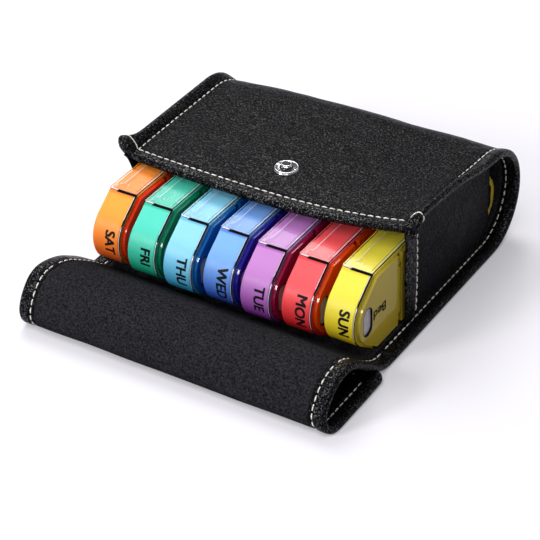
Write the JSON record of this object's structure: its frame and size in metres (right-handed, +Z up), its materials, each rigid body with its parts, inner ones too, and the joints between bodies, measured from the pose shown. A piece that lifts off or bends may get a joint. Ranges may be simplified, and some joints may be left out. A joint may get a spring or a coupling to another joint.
{
  "type": "weekly pill drawer organizer",
  "caption": "Soft wallet case with an open curled flap, holding a row of coloured daily pill pods that slide out, each with lidded cells for the times of day.",
  "frame": {"origin": "middle of the box, on the surface that the case stands on", "axes": "+Z up, +Y from the flap to the rounded back, +X along the row of pods"},
  "size_m": [0.154, 0.178, 0.0536],
  "materials": {
    "leather": "black pebbled coated cloth, satin",
    "suede": "black suede lining, matte",
    "snap_metal": "polished nickel plate",
    "clear_cover": "clear moulded plastic",
    "sat_tray": "moulded translucent plastic, glossy",
    "sat_lid": "tinted clear plastic, glossy",
    "fri_tray": "moulded translucent plastic, glossy",
    "fri_lid": "tinted clear plastic, glossy",
    "thu_tray": "moulded translucent plastic, glossy",
    "thu_lid": "tinted clear plastic, glossy",
    "wed_tray": "moulded translucent plastic, glossy",
    "wed_lid": "tinted clear plastic, glossy",
    "tue_tray": "moulded translucent plastic, glossy",
    "tue_lid": "tinted clear plastic, glossy",
    "mon_tray": "moulded translucent plastic, glossy",
    "mon_lid": "tinted clear plastic, glossy",
    "sun_tray": "moulded translucent plastic, glossy",
    "sun_lid": "tinted clear plastic, glossy"
  },
  "bodies": {
    "case": {"case_leather": "leather", "case_lining": "suede", "left_gusset_leather": "leather", "left_gusset_lining": "suede", "right_gusset_leather": "leather", "right_gusset_lining": "suede", "snap_stud": "snap_metal", "snap_rivet": "snap_metal"},
    "flap": {"flap_leather": "leather", "flap_lining": "suede"},
    "lip": {"lip_leather": "leather", "lip_lining": "suede", "snap_cap": "snap_metal", "snap_socket": "snap_metal"},
    "sat_pod": {"sat_tray": "sat_tray", "sat_cover": "clear_cover"},
    "fri_pod": {"fri_tray": "fri_tray", "fri_cover": "clear_cover"},
    "thu_pod": {"thu_tray": "thu_tray", "thu_cover": "clear_cover"},
    "wed_pod": {"wed_tray": "wed_tray", "wed_cover": "clear_cover"},
    "tue_pod": {"tue_tray": "tue_tray", "tue_cover": "clear_cover"},
    "mon_pod": {"mon_tray": "mon_tray", "mon_cover": "clear_cover"},
    "sun_pod": {"sun_tray": "sun_tray", "sun_cover": "clear_cover"},
    "sun_bed_lid": {"sun_bed_lid": "sun_lid"},
    "sun_eve_lid": {"sun_eve_lid": "sun_lid"},
    "sun_noon_lid": {"sun_noon_lid": "sun_lid"},
    "sun_morn_lid": {"sun_morn_lid": "sun_lid"},
    "sat_bed_lid": {"sat_bed_lid": "sat_lid"},
    "sat_eve_lid": {"sat_eve_lid": "sat_lid"},
    "sat_noon_lid": {"sat_noon_lid": "sat_lid"},
    "sat_morn_lid": {"sat_morn_lid": "sat_lid"},
    "fri_bed_lid": {"fri_bed_lid": "fri_lid"},
    "fri_eve_lid": {"fri_eve_lid": "fri_lid"},
    "fri_noon_lid": {"fri_noon_lid": "fri_lid"},
    "fri_morn_lid": {"fri_morn_lid": "fri_lid"},
    "thu_bed_lid": {"thu_bed_lid": "thu_lid"},
    "thu_eve_lid": {"thu_eve_lid": "thu_lid"},
    "thu_noon_lid": {"thu_noon_lid": "thu_lid"},
    "thu_morn_lid": {"thu_morn_lid": "thu_lid"},
    "wed_bed_lid": {"wed_bed_lid": "wed_lid"},
    "wed_eve_lid": {"wed_eve_lid": "wed_lid"},
    "wed_noon_lid": {"wed_noon_lid": "wed_lid"},
    "wed_morn_lid": {"wed_morn_lid": "wed_lid"},
    "tue_bed_lid": {"tue_bed_lid": "tue_lid"},
    "tue_eve_lid": {"tue_eve_lid": "tue_lid"},
    "tue_noon_lid": {"tue_noon_lid": "tue_lid"},
    "tue_morn_lid": {"tue_morn_lid": "tue_lid"},
    "mon_bed_lid": {"mon_bed_lid": "mon_lid"},
    "mon_eve_lid": {"mon_eve_lid": "mon_lid"},
    "mon_noon_lid": {"mon_noon_lid": "mon_lid"},
    "mon_morn_lid": {"mon_morn_lid": "mon_lid"}
  },
  "joints": [
    {"name": "flap_lift", "type": "hinge", "parent": "case", "child": "flap", "pos_m": [0, -0.03011, 0.0015], "axis": [1, 0, 0], "range_deg": [-15, 0]},
    {"name": "lip_uncurl", "type": "hinge", "parent": "flap", "child": "lip", "pos_m": [0, -0.08052, 0.0085], "axis": [1, 0, 0], "range_deg": [-165, 0], "deforming": ["flap_leather", "flap_lining"]},
    {"name": "sat_slide", "type": "slide", "parent": "case", "child": "sat_pod", "axis": [0, -1, 0], "range_m": [0, 0.1], "deforming": ["flap_leather", "flap_lining"]},
    {"name": "fri_slide", "type": "slide", "parent": "case", "child": "fri_pod", "axis": [0, -1, 0], "range_m": [0, 0.1], "deforming": ["flap_leather", "flap_lining"]},
    {"name": "thu_slide", "type": "slide", "parent": "case", "child": "thu_pod", "axis": [0, -1, 0], "range_m": [0, 0.1], "deforming": ["flap_leather", "flap_lining"]},
    {"name": "wed_slide", "type": "slide", "parent": "case", "child": "wed_pod", "axis": [0, -1, 0], "range_m": [0, 0.1], "deforming": ["flap_leather", "flap_lining"]},
    {"name": "tue_slide", "type": "slide", "parent": "case", "child": "tue_pod", "axis": [0, -1, 0], "range_m": [0, 0.1], "deforming": ["flap_leather", "flap_lining"]},
    {"name": "mon_slide", "type": "slide", "parent": "case", "child": "mon_pod", "axis": [0, -1, 0], "range_m": [0, 0.1], "deforming": ["flap_leather", "flap_lining"]},
    {"name": "sun_slide", "type": "slide", "parent": "case", "child": "sun_pod", "axis": [0, -1, 0], "range_m": [0, 0.1], "deforming": ["flap_leather", "flap_lining"]},
    {"name": "sun_bed_hinge", "type": "hinge", "parent": "sun_pod", "child": "sun_bed_lid", "pos_m": [0.06732, -0.00971, 0.0226], "axis": [0, 0, 1], "range_deg": [0, 95]},
    {"name": "sun_eve_hinge", "type": "hinge", "parent": "sun_pod", "child": "sun_eve_lid", "pos_m": [0.06732, 0.0163, 0.0226], "axis": [0, 0, 1], "range_deg": [0, 2.5]},
    {"name": "sun_noon_hinge", "type": "hinge", "parent": "sun_pod", "child": "sun_noon_lid", "pos_m": [0.06732, 0.0183, 0.0226], "axis": [0, 0, -1], "range_deg": [0, 2.5]},
    {"name": "sun_morn_hinge", "type": "hinge", "parent": "sun_pod", "child": "sun_morn_lid", "pos_m": [0.06732, 0.04432, 0.0226], "axis": [0, 0, -1], "range_deg": [0, 1.8]},
    {"name": "sat_bed_hinge", "type": "hinge", "parent": "sat_pod", "child": "sat_bed_lid", "pos_m": [-0.05267, -0.00782, 0.0226], "axis": [0, 0, 1], "range_deg": [0, 5]},
    {"name": "sat_eve_hinge", "type": "hinge", "parent": "sat_pod", "child": "sat_eve_lid", "pos_m": [-0.05267, 0.0182, 0.0226], "axis": [0, 0, 1], "range_deg": [0, 5]},
    {"name": "sat_noon_hinge", "type": "hinge", "parent": "sat_pod", "child": "sat_noon_lid", "pos_m": [-0.05267, 0.0202, 0.0226], "axis": [0, 0, -1], "range_deg": [0, 5]},
    {"name": "sat_morn_hinge", "type": "hinge", "parent": "sat_pod", "child": "sat_morn_lid", "pos_m": [-0.05267, 0.04621, 0.0226], "axis": [0, 0, -1], "range_deg": [0, 5]},
    {"name": "fri_bed_hinge", "type": "hinge", "parent": "fri_pod", "child": "fri_bed_lid", "pos_m": [-0.03268, -0.00951, 0.0226], "axis": [0, 0, 1], "range_deg": [0, 5]},
    {"name": "fri_eve_hinge", "type": "hinge", "parent": "fri_pod", "child": "fri_eve_lid", "pos_m": [-0.03268, 0.0165, 0.0226], "axis": [0, 0, 1], "range_deg": [0, 5]},
    {"name": "fri_noon_hinge", "type": "hinge", "parent": "fri_pod", "child": "fri_noon_lid", "pos_m": [-0.03268, 0.0185, 0.0226], "axis": [0, 0, -1], "range_deg": [0, 5]},
    {"name": "fri_morn_hinge", "type": "hinge", "parent": "fri_pod", "child": "fri_morn_lid", "pos_m": [-0.03268, 0.04451, 0.0226], "axis": [0, 0, -1], "range_deg": [0, 5]},
    {"name": "thu_bed_hinge", "type": "hinge", "parent": "thu_pod", "child": "thu_bed_lid", "pos_m": [-0.01268, -0.01132, 0.0226], "axis": [0, 0, 1], "range_deg": [0, 5]},
    {"name": "thu_eve_hinge", "type": "hinge", "parent": "thu_pod", "child": "thu_eve_lid", "pos_m": [-0.01268, 0.0147, 0.0226], "axis": [0, 0, 1], "range_deg": [0, 5]},
    {"name": "thu_noon_hinge", "type": "hinge", "parent": "thu_pod", "child": "thu_noon_lid", "pos_m": [-0.01268, 0.0167, 0.0226], "axis": [0, 0, -1], "range_deg": [0, 5]},
    {"name": "thu_morn_hinge", "type": "hinge", "parent": "thu_pod", "child": "thu_morn_lid", "pos_m": [-0.01268, 0.04272, 0.0226], "axis": [0, 0, -1], "range_deg": [0, 5]},
    {"name": "wed_bed_hinge", "type": "hinge", "parent": "wed_pod", "child": "wed_bed_lid", "pos_m": [0.00732, -0.01031, 0.0226], "axis": [0, 0, 1], "range_deg": [0, 5]},
    {"name": "wed_eve_hinge", "type": "hinge", "parent": "wed_pod", "child": "wed_eve_lid", "pos_m": [0.00732, 0.0157, 0.0226], "axis": [0, 0, 1], "range_deg": [0, 5]},
    {"name": "wed_noon_hinge", "type": "hinge", "parent": "wed_pod", "child": "wed_noon_lid", "pos_m": [0.00732, 0.0177, 0.0226], "axis": [0, 0, -1], "range_deg": [0, 5]},
    {"name": "wed_morn_hinge", "type": "hinge", "parent": "wed_pod", "child": "wed_morn_lid", "pos_m": [0.00732, 0.04371, 0.0226], "axis": [0, 0, -1], "range_deg": [0, 5]},
    {"name": "tue_bed_hinge", "type": "hinge", "parent": "tue_pod", "child": "tue_bed_lid", "pos_m": [0.02732, -0.01212, 0.0226], "axis": [0, 0, 1], "range_deg": [0, 5]},
    {"name": "tue_eve_hinge", "type": "hinge", "parent": "tue_pod", "child": "tue_eve_lid", "pos_m": [0.02732, 0.0139, 0.0226], "axis": [0, 0, 1], "range_deg": [0, 5]},
    {"name": "tue_noon_hinge", "type": "hinge", "parent": "tue_pod", "child": "tue_noon_lid", "pos_m": [0.02732, 0.0159, 0.0226], "axis": [0, 0, -1], "range_deg": [0, 5]},
    {"name": "tue_morn_hinge", "type": "hinge", "parent": "tue_pod", "child": "tue_morn_lid", "pos_m": [0.02732, 0.04192, 0.0226], "axis": [0, 0, -1], "range_deg": [0, 5]},
    {"name": "mon_bed_hinge", "type": "hinge", "parent": "mon_pod", "child": "mon_bed_lid", "pos_m": [0.04732, -0.01132, 0.0226], "axis": [0, 0, 1], "range_deg": [0, 5]},
    {"name": "mon_eve_hinge", "type": "hinge", "parent": "mon_pod", "child": "mon_eve_lid", "pos_m": [0.04732, 0.0147, 0.0226], "axis": [0, 0, 1], "range_deg": [0, 5]},
    {"name": "mon_noon_hinge", "type": "hinge", "parent": "mon_pod", "child": "mon_noon_lid", "pos_m": [0.04732, 0.0167, 0.0226], "axis": [0, 0, -1], "range_deg": [0, 5]},
    {"name": "mon_morn_hinge", "type": "hinge", "parent": "mon_pod", "child": "mon_morn_lid", "pos_m": [0.04732, 0.04272, 0.0226], "axis": [0, 0, -1], "range_deg": [0, 5]}
  ]
}
